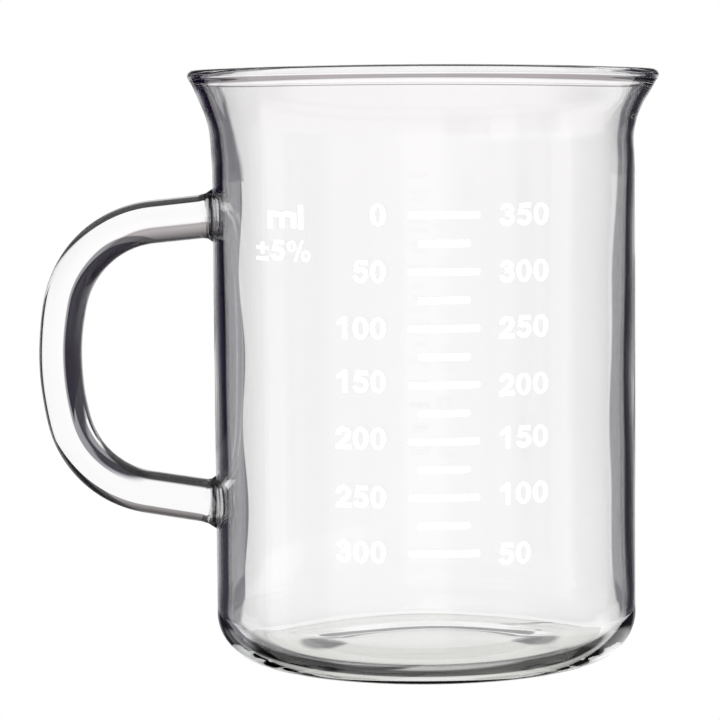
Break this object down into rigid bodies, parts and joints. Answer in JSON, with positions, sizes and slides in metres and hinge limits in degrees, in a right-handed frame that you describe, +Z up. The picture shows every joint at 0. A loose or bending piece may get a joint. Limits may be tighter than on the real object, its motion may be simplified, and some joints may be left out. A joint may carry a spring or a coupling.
{
  "type": "beaker",
  "caption": "Clear glass laboratory beaker: flared beaded rim, kicked base, fused D-shaped glass-rod handle and a white enamel millilitre scale.",
  "frame": {"origin": "centre of the foot ring, on the surface that the beaker stands on", "axes": "+Z up along the cup's axis, the scale faces -Y, the handle reaches towards -X"},
  "size_m": [0.1178, 0.089, 0.1124],
  "materials": {
    "glass": "clear fire-polished borosilicate",
    "enamel": "fired white ceramic enamel, satin"
  },
  "bodies": {
    "root": {"vessel": "glass", "handle": "glass", "upper_weld": "glass", "lower_weld": "glass", "line_50": "enamel", "line_100": "enamel", "line_150": "enamel", "line_200": "enamel", "line_250": "enamel", "line_300": "enamel", "line_350": "enamel", "line_75": "enamel", "line_125": "enamel", "line_175": "enamel", "line_225": "enamel", "line_275": "enamel", "line_325": "enamel", "contents_50": "enamel", "contents_100": "enamel", "contents_150": "enamel", "contents_200": "enamel", "contents_250": "enamel", "contents_300": "enamel", "contents_350": "enamel", "space_0": "enamel", "space_50": "enamel", "space_100": "enamel", "space_150": "enamel", "space_200": "enamel", "space_250": "enamel", "space_300": "enamel", "unit_mark": "enamel", "tolerance_mark": "enamel"}
  },
  "joints": []
}
